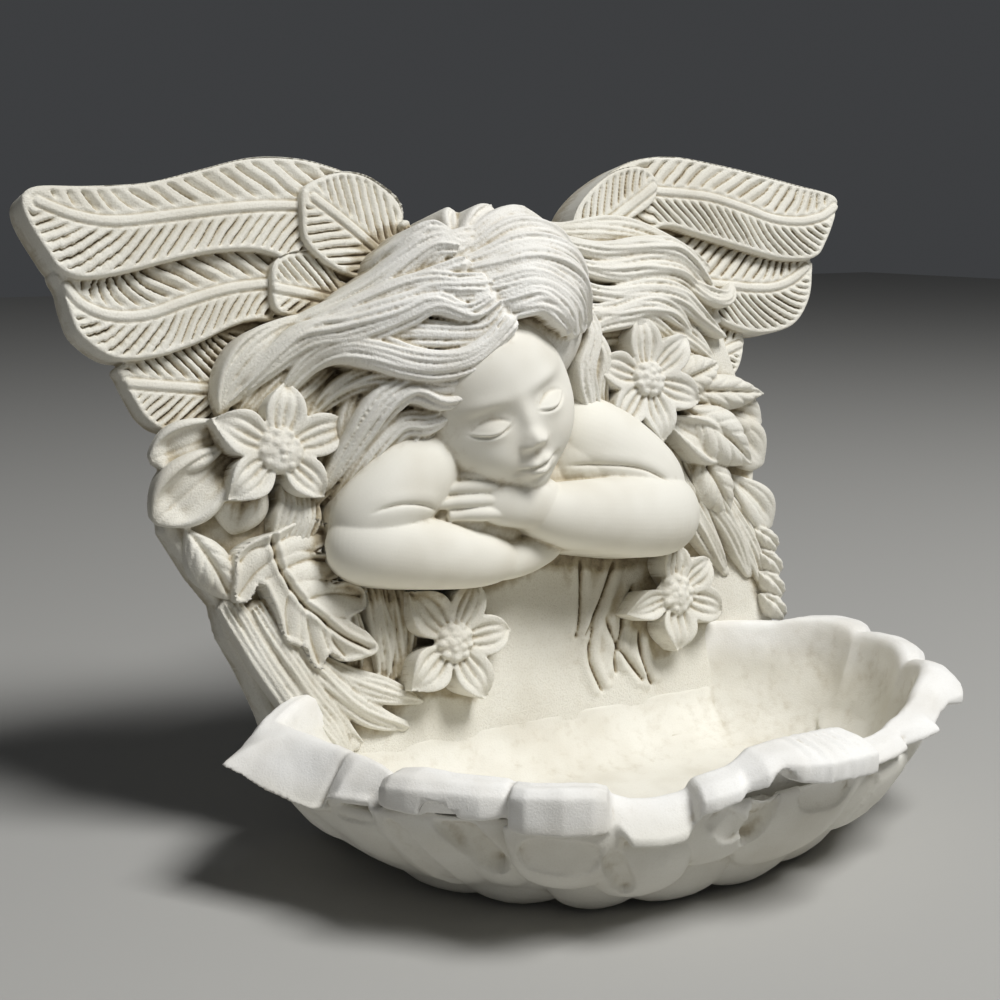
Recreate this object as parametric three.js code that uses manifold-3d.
// Garden ornament: a winged cherub resting on folded arms above a leaf-edged basin.
// One casting with a flat, plain back. Millimetres, +Z up, the front faces -Y.
//
// The relief is drawn flat first: x to the right, y up the slab, z out of its front (written
// [x, up, out] below). It is then stood up, leaning back, and joined to the level basin.
import * as THREE from 'three';
import { mergeVertices } from 'three/addons/utils/BufferGeometryUtils.js';
import Module from 'manifold-3d';

const wasm = await Module();
wasm.setup();

// Driving dimensions.
const LEAN = THREE.MathUtils.degToRad(13);  // the slab leans back from upright
const SLAB = 10.5;                          // thickness of the slab behind the relief
const SLAB_EDGE = 1.5;                      // its rounded edge
const ROOT = SLAB - 2;                      // relief goes down to here, inside the slab
const SLAB_FOOT = -10;                      // the slab is drawn this far below the ground, then trimmed
const BLADE_EDGE = 1.2;                     // rounded edge of a long wing feather
const SHAFT = 1.6;                          // half the width of a feather's shaft
const HEAD = { at: [-18, 126, 27], tilt: 19, nod: 10 };
const BASIN = {
  centre: [0, -40],   // middle of the bowl seen from above
  half: 122,          // half its width at the rim
  front: 90,          // from the middle to the front rim
  back: 65,           // from the middle to the back rim, most of it inside the slab
  rim: 46,            // height of the rim
  floor: 10,          // thickness of the floor
  columns: 54,        // steps around
};
const GROUND = 400;   // side of the blocks that trim the underside and the back

const rad = THREE.MathUtils.degToRad;
const lerp = THREE.MathUtils.lerp;

// ---------------------------------------------------------------- solids from three.js meshes

/** Turns a closed three.js geometry into a solid that can be joined and cut. */
function solid(geometry) {
  const bare = geometry.index ? geometry.toNonIndexed() : geometry.clone();
  bare.deleteAttribute('normal');
  bare.deleteAttribute('uv');
  const merged = mergeVertices(bare, 1e-3);
  return new wasm.Manifold(new wasm.Mesh({
    numProp: 3,
    vertProperties: merged.attributes.position.array,
    triVerts: new Uint32Array(merged.index.array),
  }));
}

/** Joins many solids into one. */
function join(parts) {
  return parts.reduce((whole, part) => whole.add(part));
}

/** Half widths along a piece: `full` in the middle, `start` and `end` of it at the two ends. */
function swell(full, start = 0, end = 0, power = 0.6) {
  return (t) => full * Math.max(Math.sin(Math.PI * t) ** power, lerp(start, end, t));
}

/**
 * A round-ended bar along a smooth curve through `points`, solid down to `root`. Its half width
 * and half height change along it, and `section` may shape the top across it (-1 to 1).
 */
function bar(points, width, height, { sides = 6, steps = 5, root = ROOT, section = () => 0 } = {}) {
  const curve = new THREE.CatmullRomCurve3(points.map((p) => new THREE.Vector3(...p)));
  const geometry = new THREE.SphereGeometry(1, sides, steps);
  const place = geometry.attributes.position;
  const outward = new THREE.Vector3(0, 0, 1);
  for (let i = 0; i < place.count; i++) {
    const t = 1 - Math.acos(THREE.MathUtils.clamp(place.getY(i), -1, 1)) / Math.PI;
    const ring = Math.hypot(place.getX(i), place.getZ(i));
    const spot = curve.getPoint(t);
    if (ring > 1e-6) {
      const along = curve.getTangent(t);
      const side = along.clone().cross(outward).normalize();
      const out = side.clone().cross(along);
      const across = place.getX(i) / ring;
      const lift = place.getZ(i) > 0 ? section(across, t) : 0;
      spot.addScaledVector(side, across * width(t));
      spot.addScaledVector(out, (place.getZ(i) / ring) * height(t) + lift);
      if (place.getZ(i) < -0.1 * ring) spot.z = Math.min(spot.z, root);
    }
    place.setXYZ(i, spot.x, spot.y, spot.z);
  }
  return solid(geometry);
}

/** A flat slab from an outline, from the back face to `front`, with rounded edges. */
function slab(outline, front, edge) {
  const shape = new THREE.Shape(outline.map(([x, up]) => new THREE.Vector2(x, up)));
  const geometry = new THREE.ExtrudeGeometry(shape, {
    depth: front - edge,
    bevelSize: edge,
    bevelOffset: -edge,
    bevelThickness: edge,
    bevelSegments: 1,
    bevelEnabled: edge > 0,
  });
  return solid(geometry).subtract(block([0, 0, -GROUND / 2]));
}

/** A big block centred at a point, used to trim. */
function block(centre) {
  return solid(new THREE.BoxGeometry(GROUND, GROUND, GROUND).translate(...centre));
}

// ---------------------------------------------------------------- wings

/** One wing feather: a blade with a raised shaft. */
function feather({ edge, shaft, front }) {
  const spine = shaft.map(([x, up]) => [x, up, front - 0.5]);
  const rib = bar(spine, swell(SHAFT, 0.6, 0.6), swell(1.8, 0.5, 0.5), { steps: 4 });
  return slab(edge, front, BLADE_EDGE).add(rib);
}

const LEFT_WING = [
  {
    front: 9.5,
    edge: [[-78, 157], [-100, 155], [-118, 150], [-129, 146], [-128.5, 142], [-125.5, 135.5], [-122.5, 130],
      [-116.5, 126], [-100, 122], [-78, 128]],
    shaft: [[-126, 142], [-115, 140.5], [-100, 140], [-86, 142]],
  },
  {
    front: 11,
    edge: [[-60, 174], [-80, 182], [-100, 182], [-122, 176.5], [-143.5, 175.5], [-143, 168], [-142, 161],
      [-139.5, 154.5], [-131, 148], [-119, 147.8], [-106, 151], [-85, 157.5], [-60, 150]],
    shaft: [[-142, 171], [-137.5, 165.5], [-130, 161], [-119, 160.5], [-106, 164.5], [-92, 168],
      [-79, 169]],
  },
  {
    front: 12.5,
    edge: [[-40, 186], [-48, 200], [-58.5, 204.5], [-70, 206.5], [-83, 206.2], [-99, 202.5], [-112, 199],
      [-121, 197.8], [-135, 197.2], [-148.5, 197], [-153, 193.5], [-152.5, 188], [-147.5, 178.5],
      [-144, 173.2], [-137, 170.8], [-124, 172.6], [-111, 175.6], [-97, 178], [-84, 178], [-72, 174.5],
      [-50, 172]],
    shaft: [[-148, 193], [-139, 190], [-127, 188], [-112, 189], [-95, 191], [-77, 192], [-62, 191.5]],
  },
  {
    front: 13.5,
    edge: [[-50, 168], [-60, 176], [-71, 177.5], [-79, 174.5], [-81, 167], [-80, 159], [-66, 156],
      [-50, 156]],
    shaft: [[-80, 166], [-72, 165], [-60, 162.5]],
  },
  {
    front: 14.5,
    edge: [[-34, 189], [-42, 199], [-52, 202], [-61, 200], [-68, 196], [-69.5, 188], [-69, 179], [-58, 170],
      [-44, 168]],
    shaft: [[-63, 192.5], [-54, 185.5], [-44, 177]],
  },
];

const RIGHT_WING = [
  {
    front: 9.5,
    edge: [[72, 152], [90, 151], [103, 146], [101.5, 138], [96.5, 131], [85, 124], [72, 126]],
    shaft: [[100, 142], [90, 139.5], [76, 141]],
  },
  {
    front: 11,
    edge: [[64, 186], [88, 187], [108, 181.5], [124, 176.5], [137, 173], [137, 165], [133, 155.5],
      [124, 147.5], [110, 145.2], [98, 147.5], [84, 153], [64, 156]],
    shaft: [[135, 168], [127, 164.5], [118, 162.2], [108, 162.2], [96, 163.5], [82, 165.5]],
  },
  {
    front: 12.5,
    edge: [[38, 180], [43, 198], [54, 205.5], [65, 208.5], [78, 209.2], [92, 207.5], [111, 204.2],
      [134, 199.4], [146, 197], [152.5, 194.5], [151.5, 189.5], [144, 178.5], [136.5, 172], [121, 171.8],
      [102, 176.2], [84, 181], [68, 184], [52, 176]],
    shaft: [[150, 191], [143, 187.5], [132, 185.8], [119, 187], [106, 191], [90, 195], [71, 196.5]],
  },
  {
    front: 14.5,
    edge: [[28, 178], [33, 191], [47, 202], [60, 204.8], [66.5, 200], [63.5, 192], [50, 184.5], [40, 177],
      [34, 170]],
    shaft: [[65, 198], [52, 190], [34, 180]],
  },
];

// ---------------------------------------------------------------- flowers and leaves

/** A flower with five petals. Petal tips are given as [x, up] from the flower's middle. */
function flower([x, up, out], petals, disc) {
  const cup = (across) => -0.9 * (1 - across * across);
  const parts = petals.map(([dx, dup, half]) => bar(
    [[x, up, out - 2], [x + dx * 0.5, up + dup * 0.5, out + 1], [x + dx, up + dup, out - 1.5]],
    swell(half, 0.35, 0.1), swell(3.2, 0.5, 0.2), { steps: 4, section: cup },
  ));
  const middle = [[x - disc, up, out], [x, up, out + 1], [x + disc, up, out]];
  parts.push(bar(middle, swell(disc), swell(disc * 0.6)));
  return join(parts);
}

const FLOWERS = [
  { at: [-88, 117, 22], disc: 6.8,
    petals: [[6, 17, 7], [22, 5, 7], [11, -12.5, 6.5], [-17, -9, 7], [-16.5, 10, 7.5]] },
  { at: [45, 130, 26], disc: 6,
    petals: [[1, 20, 7.5], [17, 11, 7], [16, -14, 7.5], [-5, -20, 7], [-19, 5, 8]] },
  { at: [-36, 53, 19], disc: 6.3,
    petals: [[-12, 15, 8.5], [10, 17, 6.5], [19.5, 1, 7], [9, -17, 7], [-14, -11, 7.5]] },
  { at: [52, 57, 18], disc: 6.6,
    petals: [[2, 17, 6], [15.5, 9.5, 6.5], [18.5, -7, 7], [0, -18, 7.5], [-19, -4, 5.5]] },
];

/** Blades of foliage as [foot, tip, half width, how far it stands out]. Each has a centre vein. */
const LEAVES = [
  // behind the upper left flower
  [[-98, 126], [-123, 119], 6.5, 15], [[-100, 124], [-124, 103], 8.5, 15], [[-98, 122], [-103, 95], 9, 15],
  [[-116, 97], [-105, 76], 7.5, 13],
  // lower left, a lobed leaf around one midrib
  [[-92, 93], [-71, 92], 6.5, 19], [[-92, 90], [-68, 81], 7, 19], [[-88, 84], [-64, 67], 8, 18],
  [[-84, 78], [-62, 56], 7.5, 18], [[-87, 84], [-81, 51], 8, 16], [[-93, 90], [-90, 59], 5.5, 15],
  [[-94, 93], [-103, 79], 7, 15],
  // right of the upper right flower
  [[56, 127], [83, 134], 6.5, 19], [[62, 126], [103, 123], 5.5, 17], [[84, 122], [105, 113], 6, 12],
  [[86, 116], [103, 98], 9, 11], [[64, 121], [91, 98], 9.5, 20], [[52, 118], [79, 103], 7.5, 22],
  [[71, 104], [81, 81], 8, 16], [[86, 95], [103, 75], 7, 13],
];

/** One blade of foliage, from its slender foot over a rise to a pointed tip. */
function leaf([foot, tip, half, out]) {
  const vein = (across) => -1.4 * (1 - Math.abs(across));
  const middle = [lerp(foot[0], tip[0], 0.55), lerp(foot[1], tip[1], 0.55)];
  return bar(
    [[...foot, out - 3], [...middle, out - 1], [...tip, out - 4]],
    (t) => half * Math.sin(Math.PI * t ** 1.15) ** 0.75,
    swell(5, 0.2, 0.1),
    { steps: 4, section: vein },
  );
}

// ---------------------------------------------------------------- hair

/** Locks of hair as [points, half width, height]. They run from the parting outwards. */
const LOCKS = [
  // crown
  [[[-30, 172, 44], [-22, 184, 36], [-4, 186, 32], [14, 174, 27], [22, 158, 24]], 9, 7],
  [[[-30, 171, 46], [-12, 177, 44], [6, 166, 40], [17, 147, 30]], 9, 6],
  [[[-30, 170, 48], [-16, 169, 50], [0, 160, 47], [8, 144, 38]], 8, 5],
  [[[-31, 172, 44], [-38, 175, 36], [-47, 169, 28], [-56, 162, 20]], 7, 6],
  [[[-32, 170, 45], [-42, 166, 38], [-58, 158, 28], [-76, 152, 20], [-94, 145, 16]], 7.5, 6],
  // left of the parting
  [[[-24, 152, 50], [-36, 158, 46], [-52, 154, 36], [-68, 151, 28], [-84, 145, 21], [-103, 130, 16]],
    8, 7],
  [[[-22, 150, 52], [-30, 143, 49], [-42, 139, 42], [-56, 143, 34], [-70, 145, 25], [-82, 137, 20],
    [-88, 128, 17]], 7, 7],
  [[[-26, 143, 48], [-36, 133, 43], [-48, 136, 34], [-58, 130, 27], [-66, 117, 22], [-78, 99, 17]],
    6, 6],
  [[[-60, 140, 27], [-64, 124, 23], [-67, 108, 19]], 8, 6],
  // right of the parting
  [[[-16, 151, 52], [-8, 154, 51], [2, 148, 47], [8, 142, 40]], 6, 5],
  // streaming to the right
  [[[18, 176, 26], [42, 173, 22], [62, 174, 20], [76, 168, 18], [84, 158, 16]], 6, 6],
  [[[18, 168, 26], [42, 165, 22], [66, 163, 19], [84, 151, 15]], 6, 5],
  [[[20, 158, 27], [34, 160, 25], [52, 158, 22], [66, 156, 19], [76, 149, 17], [92, 143, 14]], 6, 6],
  [[[22, 146, 26], [36, 152, 25], [52, 150, 22], [70, 140, 16]], 5, 5],
  // hanging below the arms and beside the leaves
  [[[-56, 76, 13], [-55, 60, 13], [-54, 43, 12]], 8, 4],
  [[[-104, 72, 11], [-94, 56, 12], [-76, 28, 11]], 7, 4],
  [[[-94, 72, 12], [-84, 54, 13], [-62, 30, 12]], 7, 4],
  [[[60, 108, 14], [66, 88, 14], [80, 62, 12]], 7, 5],
  [[[74, 96, 13], [86, 76, 12], [96, 56, 11]], 7, 4],
  [[[-80, 104, 15], [-82, 96, 15], [-86, 88, 14]], 9, 5],
];

/** One lock, wide in the middle and drawn out to its end. */
function lock([points, half, height]) {
  const steps = points.length;
  return bar(points, swell(half, 0.75, 0.3), swell(height, 0.8, 0.4), { steps });
}

// ---------------------------------------------------------------- head and arms

/** Gentle swells and hollows of the face as [x, up, radius, height] on the front of the skull. */
const FACE = [
  [-13, -9, 9, 3], [13, -9, 9, 3],        // cheeks
  [0, -25, 8, 4],                         // chin
  [-11, 4, 6, -2.5], [11, 4, 6, -2.5],    // eye sockets
  [0, 17, 14, 2],                         // forehead
];

/** The head: a child's, with its own plain features, looking down a little, above the hands. */
function head() {
  const skull = new THREE.SphereGeometry(1, 18, 12).rotateX(Math.PI / 2).scale(26, 31, 27);
  const place = skull.attributes.position;
  for (let i = 0; i < place.count; i++) {
    if (place.getZ(i) < 1) continue;
    const near = ([x, up, radius, height]) => (
      height * Math.exp(-(((place.getX(i) - x) ** 2 + (place.getY(i) - up) ** 2) / radius ** 2))
    );
    place.setZ(i, place.getZ(i) + FACE.reduce((sum, bump) => sum + near(bump), 0));
  }
  const hair = new THREE.SphereGeometry(1, 12, 8)
    .rotateX(Math.PI / 2).scale(33, 27, 27).translate(0, 33, -5);
  const nose = [[0, 4, 25], [0, -3, 28], [0, -7, 29]];
  const lip = (up, out) => [[-7, up + 0.5, out - 3], [0, up, out], [7, up + 0.5, out - 3]];
  return join([
    solid(skull),
    solid(hair),
    bar(nose, swell(3.2, 0.7, 0.8), swell(3, 0.6, 0.9), { root: 0 }),
    bar(lip(-16, 26.5), swell(1.6), swell(1.8), { root: 0 }),
    bar(lip(-19, 25.5), swell(1.8), swell(2), { root: 0 }),
  ])
    .rotate([HEAD.nod, 0, HEAD.tilt])
    .translate(HEAD.at);
}

/** A limb between two round ends. Its half widths and half heights are given at both ends. */
function limb(points, widths, heights) {
  const between = ([first, last]) => (
    (t) => lerp(first, last, t) * Math.sin(Math.PI * t) ** 0.35
  );
  return bar(points, between(widths), between(heights), { sides: 8, steps: 6 });
}

/** Arms folded one over the other, with the hands between them. */
function arms() {
  const limbs = [
    // left: upper arm, forearm, hand
    limb([[-36, 114, 18], [-50, 104, 24], [-69, 88, 20]], [12, 12], [13, 12]),
    limb([[-72, 88, 19], [-56, 84, 26], [-38, 80, 28], [-18, 77, 25]], [13, 8], [12.5, 8.5]),
    bar([[-28, 77, 24], [-14, 77, 24], [2, 81, 21]], swell(6, 0.8, 0.8), swell(6, 0.8, 0.8)),
    // right: shoulder and upper arm, forearm, back of the hand
    limb([[10, 116, 18], [28, 107, 23], [51, 86, 20]], [14, 13], [14, 12.5]),
    limb([[56, 86, 19], [36, 85, 28], [14, 86, 31], [-14, 92, 30]], [16, 9], [14.5, 8.5]),
    bar([[-4, 93, 30], [-16, 94, 34], [-26, 96, 33]], swell(8.5, 0.8, 0.8), swell(6, 0.8, 0.8)),
  ];
  const fingers = [0, 1, 2, 3].map((n) => {
    const up = 102 - 4.2 * n;
    return bar([[-20, up - 0.5, 35], [-32, up, 35], [-42 + 2 * n, up + 0.5, 32]],
      swell(2.3, 0.85, 0.8), swell(2.6, 0.8, 0.8), { steps: 3 });
  });
  return join([...limbs, ...fingers]);
}

// ---------------------------------------------------------------- slab and basin

/** The slab behind everything, from below the ground to behind the head. */
function backplate() {
  const outline = [
    [-80, SLAB_FOOT], [-92, 20], [-97, 40], [-102, 54], [-106.5, 64], [-108, 74], [-114, 83], [-121, 97],
    [-120, 112], [-116, 126], [-100, 152], [-72, 182], [-36, 190], [-16, 186], [10, 183], [32, 186],
    [74, 182], [92, 150], [100, 120], [101, 100], [97, 84], [95, 74], [99, 62], [98, 52], [101, 40],
    [94, 20], [80, SLAB_FOOT],
  ];
  return slab(outline, SLAB, SLAB_EDGE);
}

/**
 * Leaf tips around the rim, in degrees around the bowl from the left (0) over the front (90) to the
 * right (180): where each starts, how far it flares past the rim, and how much it rises or hangs.
 */
const LOBES = [
  { from: -42, flare: 0.02, rise: 0 },
  { from: 14, flare: -0.08, rise: -2 },
  { from: 27, flare: -0.04, rise: 2 },
  { from: 49, flare: 0.01, rise: 1.5 },
  { from: 63, flare: 0.03, rise: -6 },
  { from: 71, flare: 0.01, rise: 0 },
  { from: 82, flare: 0.04, rise: 5 },
  { from: 105, flare: -0.05, rise: -4 },
  { from: 118, flare: -0.01, rise: -2 },
  { from: 134, flare: 0.01, rise: 2 },
  { from: 157, flare: -0.03, rise: 1.5 },
  { from: 181, flare: 0.02, rise: 2 },
  { from: 222, flare: 0, rise: 0 },
  { from: 318, flare: 0, rise: 0 },
];
const FOLD = 0.07;   // how far the rim is drawn in between two tips
const DIP = 2;       // and how far it drops there

/** Reach and height of the rim at an angle in degrees. */
function rimAt(degrees) {
  const next = LOBES.findIndex((lobe) => lobe.from > degrees);
  const lobe = LOBES[next - 1];
  const t = (degrees - lobe.from) / (LOBES[next].from - lobe.from);
  const bulge = Math.sin(Math.PI * t) ** 0.5;
  return {
    reach: 1 - FOLD + (FOLD + lobe.flare) * bulge,
    height: BASIN.rim - DIP + (DIP + lobe.rise) * bulge,
  };
}

/** The bowl: a grid wrapped around it from the middle of the underside, over the rim, to the floor. */
function basin() {
  const { centre, half, front, back, floor, columns } = BASIN;
  const profile = [
    // [share of the way out, share of the lobe's flare, height as a share of the rim, extra height]
    [0.57, 0, 0, 0], [0.69, 0, 0.09, 0], [0.84, 0.1, 0.32, 0], [0.94, 0.6, 0.66, 0], [1.0, 1, 0.76, 0],
    [1.01, 1, 0.92, 0], [0.96, 0.9, 1, 0], [0.9, 0.6, 0.94, 0], [0.84, 0.4, 0.62, 0], [0.76, 0.2, 0.32, 0],
    [0.66, 0.1, 0.06, floor * 0.9], [0.45, 0, 0, floor],
  ];
  const geometry = new THREE.SphereGeometry(1, columns, profile.length + 1);
  const place = geometry.attributes.position;
  const rows = profile.length + 1;
  for (let i = 0; i < place.count; i++) {
    const row = Math.floor(i / (columns + 1));
    const column = i % (columns + 1);
    const degrees = LOBES[0].from + ((column % columns) / columns) * 360;
    if (row === 0 || row === rows) {
      place.setXYZ(i, centre[0], centre[1], row === 0 ? floor : 0);
      continue;
    }
    const [share, flared, tall, extra] = profile[rows - 1 - row];
    const rim = rimAt(degrees);
    const reach = share * lerp(1, rim.reach, flared);
    const angle = rad(degrees);
    const deep = Math.sin(angle) > 0 ? front : back;
    place.setXYZ(i, centre[0] - half * reach * Math.cos(angle), centre[1] - deep * reach * Math.sin(angle),
      tall * rim.height + extra);
  }
  return solid(geometry);
}

// ---------------------------------------------------------------- assembly

const relief = join([
  backplate(),
  ...LEFT_WING.map(feather),
  ...RIGHT_WING.map(feather),
  ...LOCKS.map(lock),
  ...LEAVES.map(leaf),
  ...FLOWERS.map(({ at, petals, disc }) => flower(at, petals, disc)),
  head(),
  arms(),
]);

/** Stands something drawn flat on the slab up, leaning back. */
const stand = (part) => part.rotate([90 - THREE.MathUtils.radToDeg(LEAN), 0, 0]);

const behind = stand(block([0, 0, -GROUND / 2]));
const below = block([0, 0, -GROUND / 2]);
const casting = stand(relief).add(basin()).subtract(behind).subtract(below);

/** The outside of a solid as a geometry: any small pocket sealed inside it is filled. */
function outside(whole) {
  const { vertProperties, triVerts } = whole.getMesh();
  const owner = Array.from({ length: vertProperties.length / 3 }, (_, i) => i);
  const find = (i) => {
    let at = i;
    while (owner[at] !== at) at = owner[at];
    owner[i] = at;
    return at;
  };
  const corners = (n) => triVerts.subarray(3 * n, 3 * n + 3);
  const count = triVerts.length / 3;
  const size = new Map();
  for (let n = 0; n < count; n++) {
    const [a, b, c] = corners(n);
    owner[find(b)] = find(a);
    owner[find(c)] = find(a);
  }
  for (let n = 0; n < count; n++) {
    const shell = find(corners(n)[0]);
    size.set(shell, (size.get(shell) ?? 0) + 1);
  }
  const [outer] = [...size].sort((one, other) => other[1] - one[1])[0];
  const kept = [];
  for (let n = 0; n < count; n++) {
    if (find(corners(n)[0]) === outer) kept.push(...corners(n));
  }
  const geometry = new THREE.BufferGeometry();
  geometry.setAttribute('position', new THREE.BufferAttribute(vertProperties, 3));
  geometry.setIndex(kept);
  return geometry;
}

const geometry = outside(casting);
geometry.computeBoundingBox();
const box = geometry.boundingBox;
geometry.translate(-(box.min.x + box.max.x) / 2, -(box.min.y + box.max.y) / 2, -box.min.z);
geometry.computeVertexNormals();

const plaster = new THREE.MeshStandardMaterial({ color: 0xe6dfcc, roughness: 0.85, metalness: 0 });
const ornament = new THREE.Group();
const body = new THREE.Mesh(geometry, plaster);
body.name = 'cherub_basin_casting';
ornament.add(body);

export default ornament;
